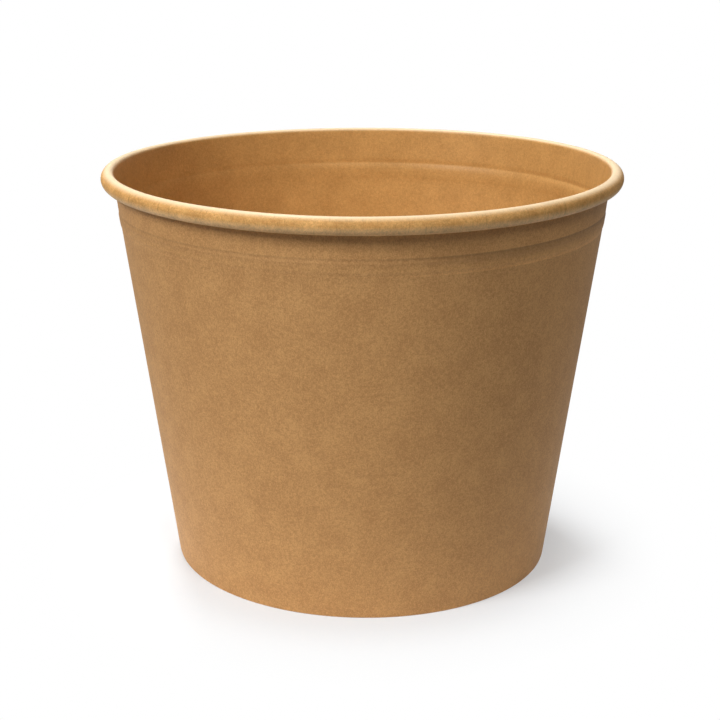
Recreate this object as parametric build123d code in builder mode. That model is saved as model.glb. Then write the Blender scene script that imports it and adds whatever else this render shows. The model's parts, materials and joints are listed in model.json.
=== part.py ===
from build123d import *
from math import asin, atan2, cos, degrees, hypot, sin, tan
import os

# A tapered paper bucket: a wrapped sidewall with a rolled rim and a folded hem, and the disc
# that the hem holds. The origin is the centre of the ring that the bucket stands on.

# Board
board_thickness = 0.45
seal_film = 0.05  # melted coating between two sheets that are glued together

# Overall size
total_height = 142.65
rim_radius = 91.5
base_radius = 68.35

# Rolled rim
curl_radius = 2.93  # outside of the roll, from its crown round to its lowest place
curl_inner_radius = 1.65  # bend from the wall up into the crown
curl_tail_gap = 0.2  # air between the tucked edge and the wall

# Stacking bead, a ridge above a groove
bead_drop = 12.15  # from the crown down to the top of the ridge
bead_ridge_span = 2.8
bead_ridge_rise = 0.22
bead_groove_span = 4.1
bead_groove_depth = 0.25

# Foot
hem_height = 8.0  # how far the folded edge stands up inside the foot
fold_radius = 0.3
panel_gap = 0.7  # from the folded edge up to the underside of the disc
disc_bend_radius = 0.45  # inside of the bend from the panel down to the skirt
skirt_floor_gap = 0.3  # from the skirt's edge down to the inside of the fold

# Side seam
lap_width = 8.0
climb_width = 3.0  # where the outer lap bends up over the edge of the inner lap
seam_direction = 0  # degrees from +X to the visible edge of the lap
edge_overrun = 0.02  # takes the thin end of a wedge just into the board

# The wall leans so that its outer face runs straight into the roll
crown_radius = rim_radius - curl_radius
bend_height = total_height - curl_inner_radius
bend_distance = hypot(crown_radius - base_radius, bend_height)
lean = atan2(crown_radius - base_radius, bend_height)
lean -= asin((curl_inner_radius - board_thickness) / bend_distance)

# Places that follow from the sizes
roll_height = total_height - curl_radius
lowest_height = roll_height - curl_radius
bead_head = total_height - bead_drop
bead_step = bead_head - bead_ridge_span
bead_foot = bead_step - bead_groove_span
hem_gap = board_thickness + 2 * seal_film
panel_height = hem_height + panel_gap
panel_top = panel_height + board_thickness
skirt_foot = board_thickness + skirt_floor_gap
lap_angle = degrees(lap_width / rim_radius)
climb_start = seam_direction + lap_angle
climb_end = climb_start + degrees(climb_width / rim_radius)


def wall_point(height, depth):
    """Radius and height of a point of the wall, at a depth below its inside face."""
    across = (board_thickness - depth) / cos(lean)
    return base_radius + height * tan(lean) - across, height


def radial_plane(angle):
    """The upright plane that holds the bucket's axis and one direction."""
    across = Vector(1, 0, 0).rotate(Axis.Z, angle)
    return Plane(origin=(0, 0, 0), x_dir=across, z_dir=across.cross(Axis.Z.direction))


def draw_wall(bottom, top, depth):
    """One face of the wall between two heights, with the stacking bead in it."""
    foot = wall_point(bead_foot, depth)
    step = wall_point(bead_step, depth)
    head = wall_point(bead_head, depth)
    Line(wall_point(bottom, depth), foot)
    SagittaArc(foot, step, bead_groove_depth)
    SagittaArc(step, head, -bead_ridge_rise)
    Line(head, wall_point(top, depth))


def draw_hem(depth):
    """One face of the folded hem. Returns the point where it starts."""
    inward = -hem_gap - depth
    floor = board_thickness - depth
    edge = wall_point(hem_height, inward)
    Polyline(edge, wall_point(floor, inward), wall_point(floor, depth))
    return edge


def draw_curl(depth):
    """One face of the rolled rim. Returns the point where it ends, tucked up beside the wall."""
    wall_radius = wall_point(lowest_height, board_thickness)[0]
    tail_bend = (crown_radius - wall_radius - curl_tail_gap) / (1 + tan(lean))
    tail_height = lowest_height + tail_bend
    bend = (crown_radius, bend_height)
    roll = (crown_radius, roll_height)
    tail = (crown_radius, tail_height)
    CenterArc(bend, curl_inner_radius - depth, 90, 90 - degrees(lean))
    CenterArc(roll, curl_radius - depth, -90, 180)
    CenterArc(tail, tail_bend - depth, 180, 90)
    return crown_radius - tail_bend + depth, tail_height


def draw_board_face(depth):
    """One whole face of the sidewall's board. Returns the points at its two ends."""
    top = bend_height + (curl_inner_radius - depth) * sin(lean)
    draw_wall(board_thickness - depth, top, depth)
    return draw_hem(depth), draw_curl(depth)


def draw_strip(bottom, top, depths):
    """The closed outline of a strip of the wall between two depths."""
    for depth in depths:
        draw_wall(bottom, top, depth)
    for height in (bottom, top):
        Line(*[wall_point(height, depth) for depth in depths])


# The one blank of board: hem, wall with its bead, and rolled rim
with BuildPart() as sidewall:
    with BuildSketch(Plane.XZ) as board_section:
        with BuildLine():
            inside_ends = draw_board_face(0)
            outside_ends = draw_board_face(board_thickness)
            for inside_end, outside_end in zip(inside_ends, outside_ends):
                Line(inside_end, outside_end)
        make_face()
        fillet(board_section.vertices().group_by(Axis.Y)[0], radius=fold_radius)
    revolve(axis=Axis.Z)

    # Outer lap of the side seam, a second layer on the wall
    second_layer = (board_thickness / 2, 2 * board_thickness)
    with BuildSketch(radial_plane(seam_direction)):
        with BuildLine():
            draw_strip(fold_radius, lowest_height, second_layer)
        make_face()
    revolve(axis=Axis.Z, revolution_arc=lap_angle)

    # Outside, the blank climbs to become that layer
    wall_layer = (board_thickness / 2, board_thickness - edge_overrun)
    for angle, depths in ((climb_start, second_layer), (climb_end, wall_layer)):
        with BuildSketch(radial_plane(angle)):
            with BuildLine():
                draw_strip(fold_radius, lowest_height, depths)
            make_face()
    loft(ruled=True)

    # Inside, the climb leaves the edge of the inner lap standing
    step_cut = (-edge_overrun, board_thickness)
    no_cut = (-edge_overrun, 0)
    for angle, depths in ((climb_start, step_cut), (climb_end, no_cut)):
        with BuildSketch(radial_plane(angle)):
            with BuildLine():
                draw_strip(panel_top, bend_height, depths)
            make_face()
    loft(ruled=True, mode=Mode.SUBTRACT)
sidewall.part.label = "sidewall"


# The disc, with its edge turned down into the hem
with BuildPart() as bottom_disc:
    with BuildSketch(Plane.XZ) as disc_section:
        with BuildLine():
            Polyline(
                (0, panel_top),
                wall_point(panel_top, -seal_film),
                wall_point(skirt_foot, -seal_film),
                wall_point(skirt_foot, -seal_film - board_thickness),
                wall_point(panel_height, -seal_film - board_thickness),
                (0, panel_height),
                close=True,
            )
        make_face()
        top_corner = disc_section.vertices().group_by(Axis.Y)[-1].sort_by(Axis.X)[-1]
        fillet(top_corner, radius=disc_bend_radius + board_thickness)
        under_corners = disc_section.vertices().filter_by_position(
            Axis.Y, panel_height, panel_height
        )
        fillet(under_corners.sort_by(Axis.X)[-1], radius=disc_bend_radius)
    revolve(axis=Axis.Z)
bottom_disc.part.label = "bottom_disc"


os.makedirs("parts", exist_ok=True)
export_step(sidewall.part, "parts/sidewall.step")
export_step(bottom_disc.part, "parts/bottom_disc.step")
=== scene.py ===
import json
import logging
import math
from dataclasses import dataclass, field
from enum import Enum
from typing import Any

import bpy
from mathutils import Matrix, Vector

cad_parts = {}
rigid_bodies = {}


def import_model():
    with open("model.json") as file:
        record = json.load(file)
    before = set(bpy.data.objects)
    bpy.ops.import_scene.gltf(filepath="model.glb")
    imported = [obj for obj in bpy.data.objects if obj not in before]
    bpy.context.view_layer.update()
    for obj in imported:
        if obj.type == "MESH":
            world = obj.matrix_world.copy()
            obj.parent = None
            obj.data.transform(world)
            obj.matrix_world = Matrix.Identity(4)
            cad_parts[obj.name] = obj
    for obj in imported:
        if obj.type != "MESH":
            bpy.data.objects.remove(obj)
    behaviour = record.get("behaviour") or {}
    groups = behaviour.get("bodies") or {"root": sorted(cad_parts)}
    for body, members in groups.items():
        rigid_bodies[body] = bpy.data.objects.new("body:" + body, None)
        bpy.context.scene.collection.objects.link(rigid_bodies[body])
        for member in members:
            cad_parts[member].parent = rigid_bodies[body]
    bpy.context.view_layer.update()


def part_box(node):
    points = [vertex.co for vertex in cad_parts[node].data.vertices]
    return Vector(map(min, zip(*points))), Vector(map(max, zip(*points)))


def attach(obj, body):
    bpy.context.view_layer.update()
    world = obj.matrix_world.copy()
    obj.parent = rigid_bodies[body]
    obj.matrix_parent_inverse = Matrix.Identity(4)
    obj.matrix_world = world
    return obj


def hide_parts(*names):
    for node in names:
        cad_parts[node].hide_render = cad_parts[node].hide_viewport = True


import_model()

# A tapered bucket of kraft board on a white table: one blank that is wrapped into the sidewall,
# with its rim rolled out and its foot folded in round the turned-down edge of the base disc.
# All lengths are in metres, and angles are in degrees unless a name says otherwise.

MM = 0.001
BODY = "root"

Colour = tuple[float, float, float]
Point = tuple[float, float]
Span = tuple[float, float]  # where a soft step starts and ends

log = logging.getLogger("bucket")


class Name(str, Enum):
    """Names of the attributes that the board carries from its geometry to its finishes."""

    OUTWARD = "outward"
    LAP = "lap_share"
    TAIL = "tail_share"
    BEAD = "bead_out"
    PLACE = "blank_place"

    @property
    def kind(self) -> str:
        """The attribute's type."""
        return "FLOAT_VECTOR" if self in (Name.OUTWARD, Name.PLACE) else "FLOAT"


class Slot(str, Enum):
    """The record's material slots."""

    WALL = "kraft_wall"
    BASE = "kraft_base"


@dataclass
class Socket:
    """One output of a node, on which Python arithmetic adds Math nodes."""

    graph: "Graph"  # where the new nodes go
    link: bpy.types.NodeSocket

    def __add__(self, other: "Socket | float") -> "Socket":
        """This value plus another."""
        return self.graph.math("ADD", self, other)

    def __radd__(self, other: float) -> "Socket":
        """A number plus this value."""
        return self.graph.math("ADD", other, self)

    def __sub__(self, other: "Socket | float") -> "Socket":
        """This value less another."""
        return self.graph.math("SUBTRACT", self, other)

    def __rsub__(self, other: float) -> "Socket":
        """A number less this value."""
        return self.graph.math("SUBTRACT", other, self)

    def __mul__(self, other: "Socket | float") -> "Socket":
        """This value times another."""
        return self.graph.math("MULTIPLY", self, other)

    def __rmul__(self, other: float) -> "Socket":
        """A number times this value."""
        return self.graph.math("MULTIPLY", other, self)

    def __truediv__(self, other: "Socket | float") -> "Socket":
        """This value divided by another."""
        return self.graph.math("DIVIDE", self, other)

    def __rtruediv__(self, other: float) -> "Socket":
        """A number divided by this value."""
        return self.graph.math("DIVIDE", other, self)


@dataclass
class Node:
    """A node that has been added to a graph, whose outputs are read by name or number."""

    graph: "Graph"
    made: bpy.types.Node

    def __getitem__(self, key: str | int) -> Socket:
        """The output with that name, identifier or number."""
        return Socket(self.graph, find_socket(self.made.outputs, key))


def find_socket(sockets: Any, key: str | int) -> bpy.types.NodeSocket:
    """Finds a socket by number, identifier or name.

    Args:
        sockets: The inputs or outputs of a node.
        key: A number, or an identifier, which goes before a name.

    Returns:
        The socket.
    """
    if isinstance(key, int):
        return sockets[key]
    for socket in sockets:
        if socket.identifier == key:
            return socket
    return sockets[key]


@dataclass
class Graph:
    """The nodes of a material, of the world or of a geometry tree."""

    NOISE_GAIN = 4  # brings the noise from a narrow band in 0 to 1 to about -1 to 1
    tree: bpy.types.NodeTree

    def node(self, kind: str, inputs: dict[Any, Any] | None = None, **settings: Any) -> Node:
        """Adds one node.

        Args:
            kind: The node's type.
            inputs: For each socket, by name, identifier or number, a value or an output.
            settings: Its properties.

        Returns:
            The new node.
        """
        made = self.tree.nodes.new(kind)
        for name, value in settings.items():
            setattr(made, name, value)
        for key, value in (inputs or {}).items():
            socket = find_socket(made.inputs, key)
            if isinstance(value, Socket):
                self.tree.links.new(value.link, socket)
            else:
                socket.default_value = value
        return Node(self, made)

    def math(self, operation: str, *values: "Socket | float") -> Socket:
        """Adds a Math node.

        Args:
            operation: What it does.
            values: Its one to three values.

        Returns:
            Its result.
        """
        return self.node("ShaderNodeMath", dict(enumerate(values)), operation=operation)[0]

    def smooth(self, value: Socket, low: "Socket | float", high: "Socket | float") -> Socket:
        """Adds a soft step.

        Args:
            value: The value that is stepped.
            low: Where the step starts, at 0.
            high: Where it ends, at 1.

        Returns:
            The step.
        """
        inputs = {"Value": value, "From Min": low, "From Max": high}
        step = self.node("ShaderNodeMapRange", inputs, interpolation_type="SMOOTHSTEP")
        return step["Result"]

    def noise(
        self, vector: Socket, scale: "Socket | float", detail: float = 2, rough: float = 0.5
    ) -> Socket:
        """Noise about 0, mostly between -1 and 1.

        Args:
            vector: Where the noise is read.
            scale: Its grains per unit of the vector.
            detail: How many finer layers it has.
            rough: How strong the finer layers are.

        Returns:
            The noise.
        """
        inputs = {"Vector": vector, "Scale": scale, "Detail": detail, "Roughness": rough}
        return (self.node("ShaderNodeTexNoise", inputs)["Fac"] - 0.5) * self.NOISE_GAIN

    def vector(self, x: Any = 0.0, y: Any = 0.0, z: Any = 0.0) -> Socket:
        """A vector from three values."""
        return self.node("ShaderNodeCombineXYZ", {"X": x, "Y": y, "Z": z})["Vector"]

    def parts(self, vector: Socket) -> tuple[Socket, Socket, Socket]:
        """The three values of a vector."""
        split = self.node("ShaderNodeSeparateXYZ", {"Vector": vector})
        return split["X"], split["Y"], split["Z"]

    def stretch(self, vector: Socket, scale: tuple[float, float, float], turn: float = 0) -> Socket:
        """Turns a vector about Z by some degrees and scales it."""
        inputs = {"Vector": vector, "Rotation": (0, 0, math.radians(turn)), "Scale": scale}
        return self.node("ShaderNodeMapping", inputs, vector_type="TEXTURE")["Vector"]

    def blend(
        self, factor: "Socket | float", first: Any, second: Any, mode: str = "MIX"
    ) -> Socket:
        """Blends two colours.

        Args:
            factor: How far the second colour counts.
            first: The first colour, an output or plain red, green and blue.
            second: The second colour, likewise.
            mode: How they are blended.

        Returns:
            The new colour.
        """
        inputs = {"Factor_Float": factor}
        for key, colour in (("A_Color", first), ("B_Color", second)):
            inputs[key] = colour if isinstance(colour, Socket) else (*colour, 1)
        mixed = self.node("ShaderNodeMix", inputs, data_type="RGBA", blend_type=mode)
        return mixed["Result_Color"]


class Finish:
    """What the finishes share: how a material is started and ended."""

    @staticmethod
    def start(name: str) -> tuple[bpy.types.Material, Graph]:
        """Starts a material.

        Args:
            name: Its name.

        Returns:
            The material, with no nodes, and the graph of it.
        """
        material = bpy.data.materials.new(name)
        material.use_nodes = True
        material.node_tree.nodes.clear()
        return material, Graph(material.node_tree)

    @staticmethod
    def end(graph: Graph, shader: Socket) -> None:
        """Links a shader to the material's output."""
        graph.node("ShaderNodeOutputMaterial", {"Surface": shader})


@dataclass(frozen=True)
class Kraft(Finish):
    """Unbleached board: mottled pulp with paler fibres, dark specks and cloudy formation."""

    name: str
    pale: Colour
    deep: Colour
    roughness: float
    gloss: float  # specular level, where 0.5 is that of plain plastic
    grain_tone: float  # how far the finest noise moves the colour
    mottle_tone: float
    cloud_tone: float
    fibre_tone: float
    speck_tone: float
    bump: float  # height of the fine relief
    coat_roughness: float = 0.3
    fleck: Colour = (0.5, 0.22, 0.06)
    fleck_share: float = 0.35
    fleck_size: float = 0.8 * MM
    fleck_span: Span = (0.3, 1.2)
    grain_size: float = 0.38 * MM
    grain_stretch: float = 1.3
    grain_relief: float = 0.5  # its weight in the relief, as the other two have
    mottle_size: float = 1.1 * MM
    mottle_relief: float = 0.4
    cloud_size: float = 9 * MM
    fibre_length: float = 2.6 * MM
    fibre_width: float = 0.22 * MM
    fibre_turns: tuple[float, ...] = (8, 52, -38)
    fibre_shift: float = 7.3  # moves each layer of fibres to another stretch of the noise
    fibre_span: Span = (0.75, 1.3)
    fibre_relief: float = 0.6
    speck_spacing: float = 5 * MM
    speck_share: float = 0.055  # a speck's radius over the spacing
    speck_chance: float = 0.45
    speck_core: float = 0.5  # share of its radius that is fully dark
    speck_blur: float = 0.004
    bead_shade_low: float = 0.0  # heights of the band over the bead with painted shade above and painted highlight below
    bead_shade_high: float = 0.0
    bead_shade_tone: float = 0.0
    bead_shade_level: float = 0.39  # share of that height at which the tone stays as it is
    bead_shade_blur: float = 0.2 * MM
    bead_shade_span: Span = (-10 * MM, 60 * MM)  # from left to right the painted shade and highlight grow stronger
    bead_shade_least: float = 0.33

    def places(self, graph: Graph) -> tuple[Socket, Socket]:
        """Where a point lies, in the object's own space and on the flat blank."""
        flat = graph.node("ShaderNodeAttribute", attribute_name=Name.PLACE.value)
        return graph.node("ShaderNodeTexCoord")["Object"], flat["Vector"]

    def fibres(self, graph: Graph, flat: Socket) -> Socket:
        """Short fibres that lie in the sheet.

        Args:
            graph: The material's graph.
            flat: The place on the flat blank.

        Returns:
            1 on a fibre and 0 between them.
        """
        total: Socket | None = None
        for number, turn in enumerate(self.fibre_turns):
            along = graph.stretch(flat, (self.fibre_width, self.fibre_length, 1), turn)
            inputs = {0: along, 1: (0, 0, self.fibre_shift * number)}
            shifted = graph.node("ShaderNodeVectorMath", inputs, operation="ADD")["Vector"]
            streak = graph.smooth(graph.noise(shifted, 1, detail=1), *self.fibre_span)
            total = streak if total is None else total + streak
        return graph.math("MINIMUM", total, 1)

    def specks(self, graph: Graph, place: Socket) -> Socket:
        """Rare dark specks of bark.

        Args:
            graph: The material's graph.
            place: The place in the object's space.

        Returns:
            1 on a speck and 0 elsewhere.
        """
        inputs = {"Vector": place, "Scale": 1 / self.speck_spacing}
        cells = graph.node("ShaderNodeTexVoronoi", inputs)
        chosen = graph.parts(cells["Color"])[0]
        size = self.speck_share * graph.smooth(chosen, 1 - self.speck_chance, 1)
        core = size * self.speck_core
        return 1 - graph.smooth(cells["Distance"], core, size + self.speck_blur)

    def tones(self, graph: Graph, place: Socket, flat: Socket) -> tuple[Socket, Socket]:
        """The board's shade and its relief.

        Args:
            graph: The material's graph.
            place: The place in the object's space.
            flat: The place on the flat blank.

        Returns:
            The tone, about 0, and the relief, about 0.
        """
        upright = graph.stretch(place, (1, 1, self.grain_stretch))
        grain = graph.noise(upright, 1 / self.grain_size, detail=1)
        mottle = graph.noise(place, 1 / self.mottle_size)
        cloud = graph.noise(place, 1 / self.cloud_size, detail=3)
        fibres = self.fibres(graph, flat)
        specks = self.specks(graph, place)
        tone = grain * self.grain_tone + mottle * self.mottle_tone
        tone = tone + cloud * self.cloud_tone + fibres * self.fibre_tone - specks * self.speck_tone
        relief = grain * self.grain_relief + mottle * self.mottle_relief
        return tone, relief + fibres * self.fibre_relief

    def paint(self, graph: Graph, tone: Socket, pale: Colour) -> Socket:
        """A colour between the deep one and a pale one, for a tone about 0."""
        return graph.blend(tone + 0.5, self.deep, pale)

    def flecks(self, graph: Graph, place: Socket) -> Socket:
        """Warm brown flecks of pulp, as a share from 0 to 1."""
        noise = graph.noise(place, 1 / self.fleck_size, detail=3, rough=0.65)
        return graph.smooth(noise, *self.fleck_span)

    def painted_bead_shade(self, graph: Graph, place: Socket) -> Socket:
        """Painted shade and highlight over the bead's band: darker to its upper edge, paler to its
        lower one.

        Args:
            graph: The material's graph.
            place: The place in the object's space.

        Returns:
            What the colour is multiplied by, 1 outside the band.
        """
        across, _, height = graph.parts(place)
        low, high, blur = self.bead_shade_low, self.bead_shade_high, self.bead_shade_blur
        inside = graph.smooth(height, low - blur, low + blur)
        inside = inside * (1 - graph.smooth(height, high - blur, high + blur))
        share = (height - low) / (high - low)
        stronger_rightward = graph.smooth(across, *self.bead_shade_span)
        shade_strength = self.bead_shade_least + (1 - self.bead_shade_least) * stronger_rightward
        return 1 + inside * shade_strength * (self.bead_shade_level - share) * self.bead_shade_tone

    def shader(
        self, graph: Graph, colour: Socket, relief: Socket, roughness: Any, coat: Any = 0.0
    ) -> Socket:
        """Adds the board's own shader.

        Args:
            graph: The material's graph.
            colour: The board's colour.
            relief: Its fine relief, which is shown as a bump.
            roughness: Its roughness.
            coat: The weight of its clear coat.

        Returns:
            The shader.
        """
        bump = graph.node("ShaderNodeBump", {"Distance": self.bump, "Height": relief})
        inputs = {
            "Base Color": colour,
            "Roughness": roughness,
            "Specular IOR Level": self.gloss,
            "Coat Weight": coat,
            "Coat Roughness": self.coat_roughness,
            "Normal": bump["Normal"],
        }
        return graph.node("ShaderNodeBsdfPrincipled", inputs)["BSDF"]

    def material(self) -> bpy.types.Material:
        """Builds the material.

        Returns:
            The material.
        """
        material, graph = self.start(self.name)
        place, flat = self.places(graph)
        tone, relief = self.tones(graph, place, flat)
        paint = self.paint(graph, tone, self.pale)
        # painted shade and painted highlight over the bead's band
        if self.bead_shade_tone:
            paint = graph.blend(1.0, paint, self.painted_bead_shade(graph, place), "MULTIPLY")
        paint = graph.blend(self.flecks(graph, place) * self.fleck_share, paint, self.fleck)
        self.end(graph, self.shader(graph, paint, relief, self.roughness))
        return material


@dataclass(frozen=True)
class CoatedKraft(Kraft):
    """The food side: sealed, smoother and a little glossy, with a freckled and wrinkled roll.

    A place on the roll is 0 at the wall, 0.2 at the crown and 1 at the tucked edge.
    """

    roll_pale: Colour = (0.98, 0.56, 0.2)
    roll_share: float = 0.7  # how far the stretched roll takes on its paler colour
    roll_start: Span = (0.03, 0.14)
    roll_coat: float = 0.2
    roll_rough: float = 0.22  # how much rougher the roll is
    # painted highlight on the roll's crown
    crown_highlight: Colour = (1.0, 0.81, 0.54)
    crown_highlight_share: float = 0.72
    crown_end: Span = (0.25, 0.43)
    lip_light_share: float = 0.3  # how much farther the lower lip takes on the paler colours, as painted light from the table below
    lip_start: Span = (0.5, 0.64)
    freckle: Colour = (0.56, 0.24, 0.06)
    freckle_share: float = 0.65
    freckle_start: Span = (0.27, 0.46)  # freckles show on the part of the roll that faces out
    freckle_end: Span = (0.5, 0.62)
    freckle_length: float = 2.0 * MM
    freckle_width: float = 0.75 * MM
    freckle_span: Span = (-0.5, 0.8)
    wrinkle_tone: float = 0.55
    wrinkle_spacing: float = 0.5 * MM
    wrinkle_length: float = 8 * MM
    wrinkle_span: Span = (0.6, 1.1)
    wrinkle_relief: float = 1.5
    rub_tone: float = 0.12
    rub_scale: float = 0.5  # patches of wear to a freckle's length

    def material(self) -> bpy.types.Material:
        """Builds the material.

        Returns:
            The material.
        """
        material, graph = self.start(self.name)
        place, flat = self.places(graph)
        tone, relief = self.tones(graph, place, flat)

        roll = graph.parts(flat)[2]
        on_roll = graph.smooth(roll, *self.roll_start)
        crown = on_roll * (1 - graph.smooth(roll, *self.crown_end))
        lip = graph.smooth(roll, *self.lip_start)
        facing = graph.smooth(roll, *self.freckle_start)
        facing = facing * (1 - graph.smooth(roll, *self.freckle_end))

        along = graph.stretch(flat, (self.freckle_length, self.freckle_width, 1))
        spots = graph.noise(along, 1, detail=4, rough=0.7)
        freckles = graph.smooth(spots, *self.freckle_span)
        rub = graph.noise(along, self.rub_scale) * on_roll
        across = graph.stretch(flat, (self.wrinkle_spacing, self.wrinkle_length, 1))
        wrinkles = graph.smooth(graph.noise(across, 1, detail=1), *self.wrinkle_span) * on_roll
        tone = tone - wrinkles * self.wrinkle_tone + rub * self.rub_tone

        body = self.paint(graph, tone, self.pale)
        body = graph.blend(self.flecks(graph, place) * self.fleck_share, body, self.fleck)
        # the roll's paler colour; the lower lip takes more of it as painted light from the table
        # below
        worn_roll_and_lip_light = self.paint(graph, tone, self.roll_pale)
        worn_roll_and_lip_light = graph.blend(freckles * facing * self.freckle_share, worn_roll_and_lip_light, self.freckle)
        colour = graph.blend(on_roll * (self.roll_share + lip * self.lip_light_share), body, worn_roll_and_lip_light)
        # painted highlight along the crown, and painted light from below on the lower lip
        painted_highlight = (crown + lip * self.lip_light_share) * self.crown_highlight_share
        colour = graph.blend(painted_highlight, colour, self.crown_highlight)

        relief = relief - wrinkles * self.wrinkle_relief
        roughness = self.roughness + on_roll * self.roll_rough
        coat = (crown + lip) * self.roll_coat
        self.end(graph, self.shader(graph, colour, relief, roughness, coat))
        return material


@dataclass(frozen=True)
class Table(Finish):
    """The white table. Round the foot it keeps its shadow and a painted contact shadow; farther off
    it turns plain white.

    Its spans are distances from the bucket's axis.
    """

    name: str = "white_table"
    white: Colour = (0.55, 0.575, 0.6)  # what the camera and gloss see
    near_grey: Colour = (0.85, 0.85, 0.85)  # what lights the bucket from below
    far_grey: Colour = (0.2, 0.2, 0.2)
    grey_span: Span = (0.09, 0.21)
    lift: float = 0.51  # what the camera sees beyond the lamps' light
    contact_shadow_share: float = 0.7  # how much of the lift is left at the foot, less there as a painted contact shadow
    contact_shadow_span: Span = (0.068, 0.1)
    gloss_lift: float = 0.65  # what gloss sees beyond the lamps' light
    gloss_span: Span = (0.1, 0.3)
    fade_span: Span = (0.064, 0.118)

    def material(self) -> bpy.types.Material:
        """Builds the material.

        Returns:
            The material.
        """
        material, graph = self.start(self.name)
        place = graph.node("ShaderNodeTexCoord")["Object"]
        distance = graph.node("ShaderNodeVectorMath", {0: place}, operation="LENGTH")["Value"]
        path = graph.node("ShaderNodeLightPath")
        camera, gloss = path["Is Camera Ray"], path["Is Glossy Ray"]

        far = graph.smooth(distance, *self.grey_span)
        grey = graph.blend(far, self.near_grey, self.far_grey)
        colour = graph.blend(graph.math("MAXIMUM", camera, gloss), grey, self.white)
        body = graph.node("ShaderNodeBsdfDiffuse", {"Color": colour})["BSDF"]

        # less glow round the foot: a painted contact shadow
        clear = graph.smooth(distance, *self.contact_shadow_span)
        lift = (clear * (1 - self.contact_shadow_share) + self.contact_shadow_share) * self.lift
        shine = (1 - graph.smooth(distance, *self.gloss_span)) * self.gloss_lift
        strength = camera * lift + gloss * shine
        glow = graph.node("ShaderNodeEmission", {"Strength": strength})["Emission"]
        lit = graph.node("ShaderNodeAddShader", {0: body, 1: glow})["Shader"]

        plain = graph.node("ShaderNodeEmission", {"Strength": 1.0})["Emission"]
        fade = graph.smooth(distance, *self.fade_span) * camera
        mixed = graph.node("ShaderNodeMixShader", {"Fac": fade, 1: lit, 2: plain})
        self.end(graph, mixed["Shader"])
        return material


@dataclass
class Row:
    """One row of a board's section: a point of its middle line and what it takes part in."""

    radius: float
    height: float
    lap: float = 1.0  # how far the second layer stands off at the seam
    tail: float = 0.0  # how far the row moves out to clear the seam, inside the roll
    roll: float = 0.0  # 0 on the wall, 1 at the tucked edge
    bead: float = 0.0  # how far the stacking bead moves it out


def ease(value: float) -> float:
    """A soft step from 0 to 1 while the value goes from 0 to 1."""
    inside = min(max(value, 0.0), 1.0)
    return inside * inside * (3 - 2 * inside)


def spread(start: float, end: float, steps: int) -> list[float]:
    """Evenly spaced values.

    Args:
        start: The first of them.
        end: The last of them.
        steps: How many steps lie between the two.

    Returns:
        The values, both ends among them.
    """
    return [start + (end - start) * step / steps for step in range(steps + 1)]


def arc(centre: Point, radius: float, start: float, end: float, steps: int) -> list[Point]:
    """Points along an arc.

    Args:
        centre: Its centre, as radius and height.
        radius: Its own radius.
        start: The angle in degrees where it starts.
        end: The angle in degrees where it ends.
        steps: How many steps it has.

    Returns:
        The points, both ends among them.
    """
    angles = [math.radians(angle) for angle in spread(start, end, steps)]
    return [(centre[0] + radius * math.cos(a), centre[1] + radius * math.sin(a)) for a in angles]


@dataclass(frozen=True)
class Warp:
    """One way in which the bucket is out of round: a shift, an oval or a rounded triangle."""

    name: str
    lobes: int
    size: float  # how far each lobe stands out
    turn: float  # degrees from +X to the first lobe
    at_rim: bool  # strongest at the rim and none at the foot, or the other way round


@dataclass
class Bucket:
    """The sizes that the pieces share, as the frame has them."""

    height: float
    rim_radius: float
    base_radius: float = 68.35 * MM
    board: float = 0.45 * MM
    film: float = 0.05 * MM
    curl_radius: float = 2.93 * MM
    curl_inner_radius: float = 1.65 * MM
    curl_tail_gap: float = 0.2 * MM
    lap_width: float = 8 * MM
    climb_width: float = 3 * MM
    hem_height: float = 8 * MM
    panel_gap: float = 0.7 * MM
    warps: tuple[Warp, ...] = (
        Warp("Rim Shift", 1, 0.46 * MM, 34, True),
        Warp("Rim Oval", 2, 0.66 * MM, 10.2, True),
        Warp("Rim Triangle", 3, 1.06 * MM, 31.8, True),
        Warp("Foot Shift", 1, 0.23 * MM, 151, False),
        Warp("Foot Oval", 2, 0.91 * MM, 135.3, False),
    )

    @property
    def crown_radius(self) -> float:
        """Distance from the axis to the crown of the roll."""
        return self.rim_radius - self.curl_radius

    @property
    def bend_height(self) -> float:
        """Height of the centre that the wall bends round into the roll."""
        return self.height - self.curl_inner_radius

    @property
    def lean(self) -> float:
        """The wall's lean.

        Returns:
            The lean in radians, with which the wall runs straight into its bend.
        """
        reach = self.crown_radius - self.base_radius
        distance = math.hypot(reach, self.bend_height)
        turned = math.asin((self.curl_inner_radius - self.board) / distance)
        return math.atan2(reach, self.bend_height) - turned

    @property
    def roll_height(self) -> float:
        """Height of the roll's centre."""
        return self.height - self.curl_radius

    @property
    def middle(self) -> float:
        """Depth of the board's middle line."""
        return self.board / 2

    @property
    def hem_gap(self) -> float:
        """Room between the wall and the hem, for the disc's skirt and its two films."""
        return self.board + 2 * self.film

    def wall_radius(self, height: float, depth: float) -> float:
        """Distance from the axis to the wall, at a height and a depth below its inside face."""
        across = (self.board - depth) / math.cos(self.lean)
        return self.base_radius + height * math.tan(self.lean) - across


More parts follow.
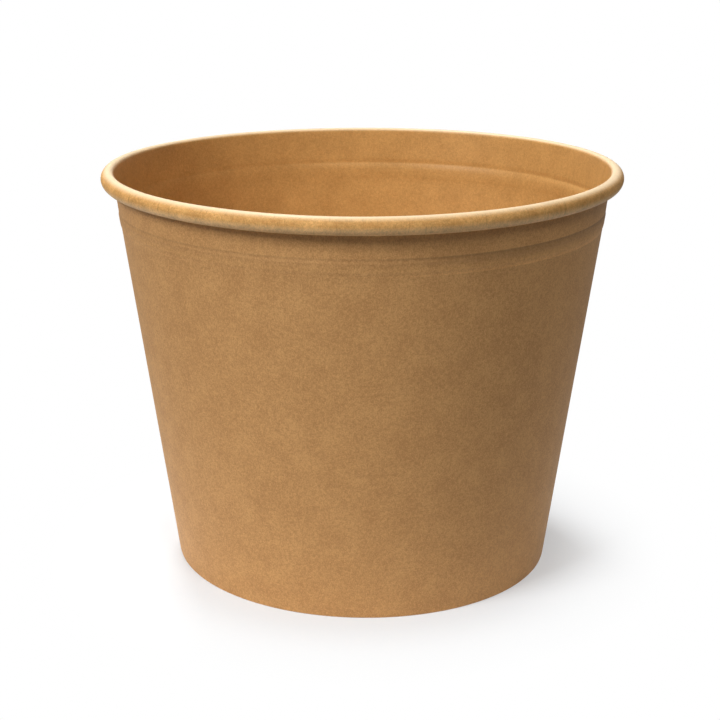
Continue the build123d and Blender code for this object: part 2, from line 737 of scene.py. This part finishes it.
class Turning:
    """Turns a section round the axis into a sheet, by a geometry tree."""

    BEAD_FADE_SPAN: Span = (0.6, 0.95)  # cosines between which the bead fades
    FREE_HEIGHT = 5  # heights of the still foot at which the waves are free
    TUCK_START = 1.5  # laps from the blank's end, where its inner layer starts to tuck in
    ROOM_SPAN: Span = (0.5, 2.5)  # widths of the seam over which the roll's edge comes back to it

    def __init__(self, bucket: Bucket) -> None:
        """Builds the tree.

        Args:
            bucket: The bucket whose pieces it turns.
        """
        self.bucket = bucket
        self.tree = bpy.data.node_groups.new("turn_section", "GeometryNodeTree")
        self.ids: dict[str, str] = {}
        self._add_sockets()
        self._add_nodes()

    def _add_sockets(self) -> None:
        """Names the tree's inputs and its output."""
        kinds = {
            "Section": "Geometry",
            "Columns": "Int",
            "Seam Columns": "Int",
            "Flat Blank": "Bool",
            "Finish": "Material",
        }
        numbers = [
            "Start", "Sweep", "Lap", "Seam", "Lift", "Tuck", "Room", "Wave Height", "Wave Size",
            "Wave Foot", "Bead Fade", "Bead Fade Turn", "Unroll Radius", "Foot Radius",
            "Rim Height", "Weld",
        ]
        for warp in self.bucket.warps:
            numbers += [warp.name, warp.name + " Turn"]
        kinds.update(dict.fromkeys(numbers, "Float"))
        sockets = self.tree.interface
        for name, kind in kinds.items():
            item = sockets.new_socket(name, in_out="INPUT", socket_type="NodeSocket" + kind)
            self.ids[name] = item.identifier
        sockets.new_socket("Sheet", in_out="OUTPUT", socket_type="NodeSocketGeometry")

    def _read(self, graph: Graph, section: Socket, name: Name, row: Socket) -> Socket:
        """Reads an attribute of the section.

        Args:
            graph: The tree's graph.
            section: The section.
            name: The attribute's name.
            row: The row where it is read.

        Returns:
            Its value.
        """
        own = graph.node(
            "GeometryNodeInputNamedAttribute", {"Name": name.value}, data_type=name.kind
        )
        inputs = {"Geometry": section, "Value": own["Attribute"], "Index": row}
        return graph.node("GeometryNodeSampleIndex", inputs, data_type=name.kind)["Value"]

    def _turn(self, graph: Graph, given: Node, column: Socket) -> Socket:
        """Spaces the columns, closer at the seam.

        Args:
            graph: The tree's graph.
            given: The tree's inputs.
            column: The column's number.

        Returns:
            How far round it lies, in radians.
        """
        close, seam = given["Seam Columns"], given["Seam"]
        near = graph.math("MINIMUM", column, close) / graph.math("MAXIMUM", close, 1) * seam
        beyond = graph.math("MAXIMUM", column - close, 0) / (given["Columns"] - close - 1)
        return near + beyond * (given["Sweep"] - seam)

    def _out_of_round(
        self, graph: Graph, given: Node, angle: Socket, radius: Socket, height: Socket
    ) -> Socket:
        """How far the slow warps move a point out.

        Args:
            graph: The tree's graph.
            given: The tree's inputs.
            angle: The point's direction in radians.
            radius: Its distance from the axis.
            height: Its height.

        Returns:
            The distance, which is none at the axis.
        """
        share = graph.math("MINIMUM", height / given["Rim Height"], 1)
        sums: dict[bool, Socket] = {}
        for warp in self.bucket.warps:
            wave = graph.math("COSINE", (angle - given[warp.name + " Turn"]) * warp.lobes)
            wave = wave * given[warp.name]
            sums[warp.at_rim] = sums[warp.at_rim] + wave if warp.at_rim in sums else wave
        whole = sums[True] * share + sums[False] * (1 - share)
        return whole * graph.math("MINIMUM", radius / given["Foot Radius"], 1)

    def _add_nodes(self) -> None:
        """Adds the nodes."""
        graph = Graph(self.tree)
        given = graph.node("NodeGroupInput")
        section = given["Section"]
        rows = graph.node("GeometryNodeAttributeDomainSize", {"Geometry": section})
        size = {
            "Size X": 1.0,
            "Size Y": 1.0,
            "Vertices X": rows["Point Count"],
            "Vertices Y": given["Columns"],
        }
        grid = graph.node("GeometryNodeMeshGrid", size)["Mesh"]
        index = graph.node("GeometryNodeInputIndex")["Index"]
        row = graph.math("FLOOR", (index + 0.5) / given["Columns"])
        column = index - row * given["Columns"]

        middle = graph.node("GeometryNodeInputPosition")["Position"]
        inputs = {"Geometry": section, "Value": middle, "Index": row}
        point = graph.node("GeometryNodeSampleIndex", inputs, data_type="FLOAT_VECTOR")["Value"]
        radius, _, height = graph.parts(point)
        read = {name: self._read(graph, section, name, row) for name in Name}
        out_radius, _, out_height = graph.parts(read[Name.OUTWARD])
        lap_share = read[Name.LAP]

        turn = self._turn(graph, given, column)
        angle = turn + given["Start"]
        away_cos, away_sin = graph.math("COSINE", angle), graph.math("SINE", angle)

        # The outer layer of the seam stands off, then comes down to the wall's own layer.
        # Where the foot is pressed flat, the inner layer is tucked in instead.
        over = 1 - graph.smooth(turn, given["Lap"], given["Seam"])
        tuck_start = given["Sweep"] - given["Lap"] * self.TUCK_START
        under = graph.smooth(turn, tuck_start, given["Sweep"] - given["Lap"])
        tucked = under * (1 - lap_share) * given["Tuck"]
        from_lap = graph.math("PINGPONG", turn - given["Lap"] * 0.5, math.pi)
        near, far = (given["Seam"] * share for share in self.ROOM_SPAN)
        beside = 1 - graph.smooth(from_lap, near, far)

        # The stacking bead is pressed less deep on one side
        facing = graph.math("COSINE", angle - given["Bead Fade Turn"])
        lost = read[Name.BEAD] * graph.smooth(facing, *self.BEAD_FADE_SPAN) * given["Bead Fade"]

        # Slow waves in the board, none at the foot
        still = graph.vector(radius * away_cos, radius * away_sin, height)
        waves = graph.noise(still, 1 / given["Wave Size"], detail=1)
        free = graph.smooth(height, given["Wave Foot"], given["Wave Foot"] * self.FREE_HEIGHT)

        offset = over * lap_share * given["Lift"] - tucked + waves * free * given["Wave Height"]
        warp = self._out_of_round(graph, given, angle, radius, height)
        room = beside * read[Name.TAIL] * given["Room"]
        new_radius = radius + out_radius * offset + room + warp - lost
        new_height = height + out_height * offset
        wrapped = graph.vector(new_radius * away_cos, new_radius * away_sin, new_height)
        sheet = graph.node("GeometryNodeSetPosition", {"Geometry": grid, "Position": wrapped})

        _, up, roll = graph.parts(read[Name.PLACE])
        unrolled = graph.vector(turn * given["Unroll Radius"], up, roll)
        inputs = {"Switch": given["Flat Blank"], "False": unrolled, "True": still}
        blank = graph.node("GeometryNodeSwitch", inputs, input_type="VECTOR")["Output"]
        inputs = {"Geometry": sheet["Geometry"], "Name": Name.PLACE.value, "Value": blank}
        sheet = graph.node(
            "GeometryNodeStoreNamedAttribute", inputs, data_type="FLOAT_VECTOR", domain="POINT"
        )
        sheet = graph.node("GeometryNodeFlipFaces", {"Mesh": sheet["Geometry"]})
        inputs = {"Geometry": sheet["Mesh"], "Distance": given["Weld"]}
        sheet = graph.node("GeometryNodeMergeByDistance", inputs)
        sheet = graph.node("GeometryNodeRealizeInstances", {"Geometry": sheet["Geometry"]})
        inputs = {"Geometry": sheet["Geometry"], "Material": given["Finish"]}
        sheet = graph.node("GeometryNodeSetMaterial", inputs)
        graph.node("NodeGroupOutput", {"Sheet": sheet["Geometry"]})

    def section(self, name: str, rows: list[Row]) -> bpy.types.Object:
        """Makes the section's middle line as a mesh of edges.

        Args:
            name: The object's name.
            rows: The points of the line, from its inner end to its outer one.

        Returns:
            The object, with what each row takes part in as attributes.
        """
        mesh = bpy.data.meshes.new(name)
        points = [(row.radius, 0.0, row.height) for row in rows]
        mesh.from_pydata(points, [(i, i + 1) for i in range(len(rows) - 1)], [])
        outward: list[float] = []
        places: list[float] = []
        run = 0.0
        for number, row in enumerate(rows):
            before, after = rows[max(number - 1, 0)], rows[min(number + 1, len(rows) - 1)]
            along = Vector((after.radius - before.radius, 0, after.height - before.height))
            along.normalize()
            run += math.hypot(row.radius - before.radius, row.height - before.height)
            outward += (along.z, 0, -along.x)
            places += (0, run, row.roll)
        write_attribute(mesh, Name.OUTWARD, outward)
        write_attribute(mesh, Name.PLACE, places)
        write_attribute(mesh, Name.LAP, [row.lap for row in rows])
        write_attribute(mesh, Name.TAIL, [row.tail for row in rows])
        write_attribute(mesh, Name.BEAD, [row.bead for row in rows])
        return add_object(name, mesh)

    def turn(self, made: bpy.types.Object, given: dict[str, Any]) -> bpy.types.Mesh:
        """Runs the tree on a section.

        Args:
            made: The section's object.
            given: The tree's inputs by name. One that is left out stays 0.

        Returns:
            The sheet as a plain mesh.
        """
        modifier = made.modifiers.new("turn", "NODES")
        modifier.node_group = self.tree
        shared: dict[str, Any] = {
            "Foot Radius": self.bucket.base_radius,
            "Rim Height": self.bucket.roll_height,
        }
        for warp in self.bucket.warps:
            shared[warp.name] = warp.size
            shared[warp.name + " Turn"] = math.radians(warp.turn)
        for name, value in (shared | given).items():
            modifier[self.ids[name]] = value
        mesh = plain_mesh(made)
        made.modifiers.clear()
        return mesh


def add_object(name: str, data: bpy.types.ID) -> bpy.types.Object:
    """Puts a mesh, a light or a camera into the scene.

    Args:
        name: The object's name.
        data: What it shows.

    Returns:
        The new object.
    """
    made = bpy.data.objects.new(name, data)
    bpy.context.scene.collection.objects.link(made)
    return made


def write_attribute(mesh: bpy.types.Mesh, name: Name, values: list[float]) -> None:
    """Writes a value, or the three values of a vector, for each point of a mesh.

    Args:
        mesh: The mesh.
        name: The attribute's name.
        values: All values in a row.
    """
    made = mesh.attributes.new(name.value, name.kind, "POINT")
    made.data.foreach_set("value" if name.kind == "FLOAT" else "vector", values)


def plain_mesh(made: bpy.types.Object) -> bpy.types.Mesh:
    """Applies an object's modifiers.

    Args:
        made: The object, which stays as it is.

    Returns:
        The mesh that they make of it.
    """
    graph = bpy.context.evaluated_depsgraph_get()
    seen = made.evaluated_get(graph)
    return bpy.data.meshes.new_from_object(seen, preserve_all_data_layers=True, depsgraph=graph)


def thicken(made: bpy.types.Object, board: float, finishes: list[bpy.types.Material]) -> None:
    """Gives a sheet its thickness, with one finish for each face of the board and one for its edge.

    Args:
        made: The object, whose mesh is the board's middle sheet, facing the board's outer side.
        board: The board's thickness.
        finishes: The finishes of the outer side, the food side and the cut edge.
    """
    made.data.materials.clear()
    for finish in finishes:
        made.data.materials.append(finish)
    solid = made.modifiers.new("board", "SOLIDIFY")
    solid.thickness = board
    solid.offset = 0
    solid.use_even_offset = True
    solid.use_quality_normals = True
    solid.material_offset = 1
    solid.material_offset_rim = 2
    made.data = plain_mesh(made)
    made.modifiers.clear()
    made.data.shade_smooth()
    sharpen_edges(made.data)


def sharpen_edges(mesh: bpy.types.Mesh) -> None:
    """Marks each edge between two finishes as sharp.

    Args:
        mesh: The mesh.
    """
    finishes: dict[tuple[int, int], set[int]] = {}
    for face in mesh.polygons:
        for key in face.edge_keys:
            finishes.setdefault(key, set()).add(face.material_index)
    for edge in mesh.edges:
        edge.use_edge_sharp = len(finishes[edge.key]) > 1


@dataclass
class Sidewall:
    """The wrapped blank: hem, fold, wall with its stacking bead, rolled rim and lapped seam."""

    bucket: Bucket
    turning: Turning
    name: str = "sidewall_board"
    seam_direction: float = 0.0
    columns: int = 300
    seam_columns: int = 16
    hem_steps: int = 6
    fold_steps: int = 4  # in each of the fold's two bends
    wall_steps: tuple[int, int, int] = (34, 26, 6)  # below, on and above the bead
    roll_steps: tuple[int, int, int] = (10, 30, 7)  # the wall's bend, the roll and the tucked edge
    fold_radius: float = 0.3 * MM
    fold_lean: float = 10.0  # degrees by which its bends stop short of upright
    bead_head_drop: float = 11.6 * MM  # from the crown down to where the bead's ridge starts
    bead_crest_drop: float = 13.7 * MM
    bead_groove_drop: float = 16.3 * MM
    bead_foot_drop: float = 19.9 * MM
    bead_rise: float = 0.22 * MM
    bead_depth: float = 0.27 * MM
    skin_top_drop: float = 11.6 * MM  # the outer skin's one broad ridge over the bead
    skin_top_run: float = 1 * MM  # height over which it rises there, and so on
    skin_crest_drop: float = 14.4 * MM
    skin_crest_run: float = 1.1 * MM
    skin_foot_drop: float = 20.2 * MM
    skin_foot_run: float = 2.2 * MM
    skin_rise: float = 0.25 * MM
    skin_top_share: float = 0.15  # share of the rise that it has above its crest
    bead_fade: float = 0.75  # share of its depth that the bead loses on one side
    bead_fade_turn: float = 140.0
    foot_press: float = 4 * MM  # height over which the seam's layers come free of the fold
    foot_tuck: float = 0.03 * MM
    unroll_radius: float = 80 * MM
    wave_height: float = 0.05 * MM
    wave_size: float = 45 * MM
    wave_foot: float = 9 * MM
    tail_room: float = 0.5 * MM
    weld: float = 0.001 * MM

    def bead(self, height: float) -> float:
        """The stacking bead's form, a ridge above a groove.

        Args:
            height: A height on the wall.

        Returns:
            How far the bead moves the wall out there.
        """
        drop = self.bucket.height - height
        head, crest = self.bead_head_drop, self.bead_crest_drop
        groove, foot = self.bead_groove_drop, self.bead_foot_drop
        if head < drop <= crest:
            return self.bead_rise * ease((drop - head) / (crest - head))
        if crest < drop <= groove:
            left = (groove - drop) / (groove - crest)
            return (self.bead_rise + self.bead_depth) * left**2 - self.bead_depth
        if groove < drop < foot:
            share = (drop - groove) / (foot - groove)
            return self.bead_depth * (share**2 - 1)
        return 0.0

    def press_skin(self, mesh: bpy.types.Mesh) -> None:
        """Swells the outer skin over the bead into one broad low ridge.

        Args:
            mesh: The finished board, whose outer faces have the first finish.
        """
        drops = (self.skin_top_drop, self.skin_crest_drop, self.skin_foot_drop)
        top, crest, foot = (self.bucket.height - drop for drop in drops)
        above = self.skin_rise * self.skin_top_share
        outer = {i for face in mesh.polygons if face.material_index == 0 for i in face.vertices}
        for number in outer:
            place = mesh.vertices[number].co
            if not foot < place.z < top:
                continue
            rise = above * ease((top - place.z) / self.skin_top_run)
            rise += (self.skin_rise - above) * ease((crest - place.z) / self.skin_crest_run)
            rise *= ease((place.z - foot) / self.skin_foot_run)
            stretch = 1 + (rise - self.bead(place.z)) / math.hypot(place.x, place.y)
            place.x *= stretch
            place.y *= stretch

    def foot_rows(self) -> list[Row]:
        """The hem and the fold.

        Returns:
            Their rows, from the hem's upper edge to the wall.
        """
        bucket = self.bucket
        hem_depth = -bucket.hem_gap - bucket.middle
        floor = bucket.middle
        rise = floor + self.fold_radius
        heights = spread(bucket.hem_height, rise, self.hem_steps)
        rows = [(bucket.wall_radius(height, hem_depth), height) for height in heights]
        inner = bucket.wall_radius(floor, hem_depth) + self.fold_radius
        outer = bucket.wall_radius(floor, bucket.middle) - self.fold_radius
        rows += arc((inner, rise), self.fold_radius, 180 + self.fold_lean, 270, self.fold_steps)
        rows += arc((outer, rise), self.fold_radius, 270, 360 - self.fold_lean, self.fold_steps)
        return [Row(radius, height, lap=0) for radius, height in rows]

    def wall_rows(self) -> list[Row]:
        """The wall with its bead.

        Returns:
            Its rows, from just above the fold to where it bends into the roll.
        """
        bucket = self.bucket
        low = bucket.middle + self.fold_radius * 2
        high = bucket.bend_height + (bucket.curl_inner_radius - bucket.middle) * math.sin(bucket.lean)
        head = bucket.height - self.bead_head_drop
        foot = bucket.height - self.bead_foot_drop
        heights: list[float] = []
        for start, end, steps in zip((low, foot, head), (foot, head, high), self.wall_steps):
            heights += spread(start, end, steps)[:-1]
        rows = []
        for height in heights:
            out = self.bead(height)
            radius = bucket.wall_radius(height, bucket.middle) + out * math.cos(bucket.lean)
            lap = ease((height - low) / self.foot_press)
            rows.append(Row(radius, height - out * math.sin(bucket.lean), lap=lap, bead=out))
        return rows

    def roll_rows(self) -> list[Row]:
        """The rolled rim.

        Returns:
            Its rows, from the wall's bend to the tucked edge.
        """
        bucket = self.bucket
        crown, half = bucket.crown_radius, bucket.middle
        lowest = bucket.roll_height - bucket.curl_radius
        beside = bucket.wall_radius(lowest, bucket.board)
        tail_bend = (crown - beside - bucket.curl_tail_gap) / (1 + math.tan(bucket.lean))
        bend = bucket.curl_inner_radius - half
        roll = bucket.curl_radius - half
        tail = tail_bend - half
        lean = math.degrees(bucket.lean)
        bend_steps, turn_steps, tail_steps = self.roll_steps
        points = arc((crown, bucket.bend_height), bend, 180 - lean, 90, bend_steps)[:-1]
        points += arc((crown, bucket.roll_height), roll, 90, -90, turn_steps)[:-1]
        turned = len(points)
        points += arc((crown, lowest + tail_bend), tail, -90, -180, tail_steps)
        rows = []
        for number, (radius, height) in enumerate(points):
            tucked = max(number - turned, 0) / (len(points) - 1 - turned)
            share = number / (len(points) - 1)
            rows.append(Row(radius, height, tail=ease(tucked), roll=share))
        return rows

    def build(self, finishes: list[bpy.types.Material]) -> bpy.types.Object:
        """Makes the board of the sidewall.

        Args:
            finishes: The finishes of the outer side, the food side and the cut edge.

        Returns:
            The finished object.
        """
        bucket = self.bucket
        rows = self.foot_rows() + self.wall_rows() + self.roll_rows()
        made = self.turning.section(self.name, rows)
        lap = bucket.lap_width / bucket.rim_radius
        given = {
            "Columns": self.columns,
            "Seam Columns": self.seam_columns,
            "Start": math.radians(self.seam_direction),
            "Sweep": 2 * math.pi + lap,
            "Lap": lap,
            "Seam": lap + bucket.climb_width / bucket.rim_radius,
            "Lift": bucket.board + bucket.film,
            "Tuck": self.foot_tuck,
            "Room": self.tail_room,
            "Wave Height": self.wave_height,
            "Wave Size": self.wave_size,
            "Wave Foot": self.wave_foot,
            "Bead Fade": self.bead_fade,
            "Bead Fade Turn": math.radians(self.bead_fade_turn),
            "Unroll Radius": self.unroll_radius,
            "Weld": self.weld,
            "Finish": finishes[0],
        }
        made.data = self.turning.turn(made, given)
        thicken(made, bucket.board, finishes)
        self.press_skin(made.data)
        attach(made, BODY)
        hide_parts("sidewall")
        return made


@dataclass
class BaseDisc:
    """The disc in the foot: a panel that sags a little, and its edge turned down into the hem."""

    bucket: Bucket
    turning: Turning
    name: str = "base_panel"
    columns: int = 240
    panel_steps: int = 36
    bend_steps: int = 8
    skirt_steps: int = 6
    bend_radius: float = 0.45 * MM
    skirt_floor_gap: float = 0.3 * MM
    sag: float = 0.35 * MM
    ring_share: float = 0.93  # where the flat rim of the panel starts
    ring_depth: float = 0.12 * MM
    ring_width: float = 2.2 * MM
    weld: float = 0.001 * MM

    def rows(self) -> list[Row]:
        """The panel and its skirt.

        Returns:
            Their rows, from the centre outwards and down.
        """
        bucket = self.bucket
        skirt_depth = -bucket.film - bucket.middle
        level = bucket.hem_height + bucket.panel_gap + bucket.middle
        bend = self.bend_radius + bucket.middle
        edge = bucket.wall_radius(level, skirt_depth) - bend
        ring = edge * self.ring_share
        points = []
        for radius in spread(0, edge, self.panel_steps)[:-1]:
            drop = self.sag * (1 - ease(radius / ring))
            press = math.exp(-(((radius - ring) / self.ring_width) ** 2))
            points.append((radius, level - drop - self.ring_depth * press))
        lean = math.degrees(bucket.lean)
        points += arc((edge, level - bend), bend, 90, -lean, self.bend_steps)
        foot = bucket.board + self.skirt_floor_gap
        for height in spread(points[-1][1], foot, self.skirt_steps)[1:]:
            points.append((bucket.wall_radius(height, skirt_depth), height))
        return [Row(radius, height, lap=0) for radius, height in points]

    def build(self, finishes: list[bpy.types.Material]) -> bpy.types.Object:
        """Makes the disc.

        Args:
            finishes: The finishes of the underside, the food side and the cut edge.

        Returns:
            The finished object.
        """
        made = self.turning.section(self.name, self.rows())
        given = {
            "Columns": self.columns,
            "Sweep": 2 * math.pi,
            "Wave Size": 1.0,
            "Wave Foot": 1.0,
            "Flat Blank": True,
            "Weld": self.weld,
            "Finish": finishes[0],
        }
        made.data = self.turning.turn(made, given)
        thicken(made, self.bucket.board, finishes)
        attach(made, BODY)
        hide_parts("bottom_disc")
        return made


@dataclass(frozen=True)
class Softbox:
    """One square soft light: where it stands, and how wide and strong it is."""

    name: str
    place: tuple[float, float, float]
    width: float
    watts: float

    def build(self, aim: Vector) -> None:
        """Makes the light.

        Args:
            aim: The point that it is turned to.
        """
        data = bpy.data.lights.new(self.name, "AREA")
        data.shape = "SQUARE"
        data.size = self.width
        data.energy = self.watts
        made = add_object(self.name, data)
        made.location = self.place
        made.rotation_euler = (aim - Vector(self.place)).to_track_quat("-Z", "Y").to_euler()
        log.info("light %s: %.1f W", self.name, self.watts)


@dataclass
class Studio:
    """The table, the lights, the white surroundings and the camera."""

    aim_height: float = 0.07
    table_half: float = 4.0
    lens: float = 78.56
    camera_place: tuple[float, float, float] = (0, -0.5515, 0.2394)
    camera_tilt: float = 72.98
    camera_turn: float = 0.06
    boxes: list[Softbox] = field(
        default_factory=lambda: [
            Softbox("key_left", (-1.1, -0.95, 1.25), width=0.7, watts=25.6),
            Softbox("fill_right", (0.5, -1.1, 1.3), width=0.6, watts=8.6),
            Softbox("rim_back", (-0.3, 0.8, 1.5), width=0.4, watts=15),
        ]
    )

    def build(self) -> None:
        """Makes everything that stands round the bucket."""
        self.table()
        self.surroundings()
        self.camera()
        for box in self.boxes:
            box.build(Vector((0, 0, self.aim_height)))

    def table(self) -> None:
        """Makes the table as one large flat face."""
        half = self.table_half
        mesh = bpy.data.meshes.new("table")
        corners = [(-half, -half, 0), (half, -half, 0), (half, half, 0), (-half, half, 0)]
        mesh.from_pydata(corners, [], [(0, 1, 2, 3)])
        mesh.materials.append(Table().material())
        made = add_object("table", mesh)

    def surroundings(self) -> None:
        """Shows plain white to the camera and in gloss, and sheds no other light."""
        world = bpy.data.worlds.new("surroundings")
        world.use_nodes = True
        world.node_tree.nodes.clear()
        graph = Graph(world.node_tree)
        path = graph.node("ShaderNodeLightPath")
        seen = graph.math("MAXIMUM", path["Is Camera Ray"], path["Is Glossy Ray"])
        seen = graph.math("MAXIMUM", seen, path["Is Transmission Ray"])
        sky = graph.node("ShaderNodeBackground", {"Color": (1, 1, 1, 1), "Strength": seen})
        graph.node("ShaderNodeOutputWorld", {"Surface": sky["Background"]})
        bpy.context.scene.world = world

    def camera(self) -> None:
        """Makes the camera at the photo's place."""
        data = bpy.data.cameras.new("camera")
        data.lens = self.lens
        data.clip_start = 0.01
        data.clip_end = 20
        made = add_object("camera", data)
        made.location = self.camera_place
        made.rotation_euler = (math.radians(self.camera_tilt), 0, math.radians(self.camera_turn))
        bpy.context.scene.camera = made


def main() -> None:
    logging.basicConfig(level=logging.INFO, format="%(message)s")
    bpy.context.scene.view_settings.view_transform = "Standard"

    raw = Kraft(
        "kraft_raw", pale=(0.655, 0.355, 0.132), deep=(0.47, 0.235, 0.079),
        roughness=0.65, gloss=0.4, bump=0.03 * MM,
        grain_tone=0.53, mottle_tone=0.33, cloud_tone=0.27, fibre_tone=0.3, speck_tone=0.9,
        # painted shade and painted highlight over the bead, between these heights
        bead_shade_low=122.7 * MM, bead_shade_high=128.8 * MM, bead_shade_tone=0.78,
    ).material()
    coated = CoatedKraft(
        "kraft_coated", pale=(0.69, 0.375, 0.122), deep=(0.49, 0.255, 0.076),
        roughness=0.45, gloss=0.2, bump=0.012 * MM,
        grain_tone=0.29, mottle_tone=0.25, cloud_tone=0.25, fibre_tone=0.2, speck_tone=0.6,
    ).material()
    cut = Kraft(
        "kraft_cut_edge", pale=(0.74, 0.5, 0.28), deep=(0.55, 0.34, 0.17),
        roughness=0.9, gloss=0.2, bump=0.05 * MM,
        grain_tone=0.2, mottle_tone=0.1, cloud_tone=0.05, fibre_tone=0.3, speck_tone=0.4,
    ).material()
    finishes = [raw, coated, cut]

    low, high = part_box("sidewall")
    bucket = Bucket(height=high.z, rim_radius=(high.y - low.y) / 2)
    turning = Turning(bucket)
    for piece in (Sidewall(bucket, turning), BaseDisc(bucket, turning)):
        made = piece.build(finishes)
        log.info("piece %s: %d faces", made.name, len(made.data.polygons))
    Studio().build()


if __name__ == "__main__":
    main()
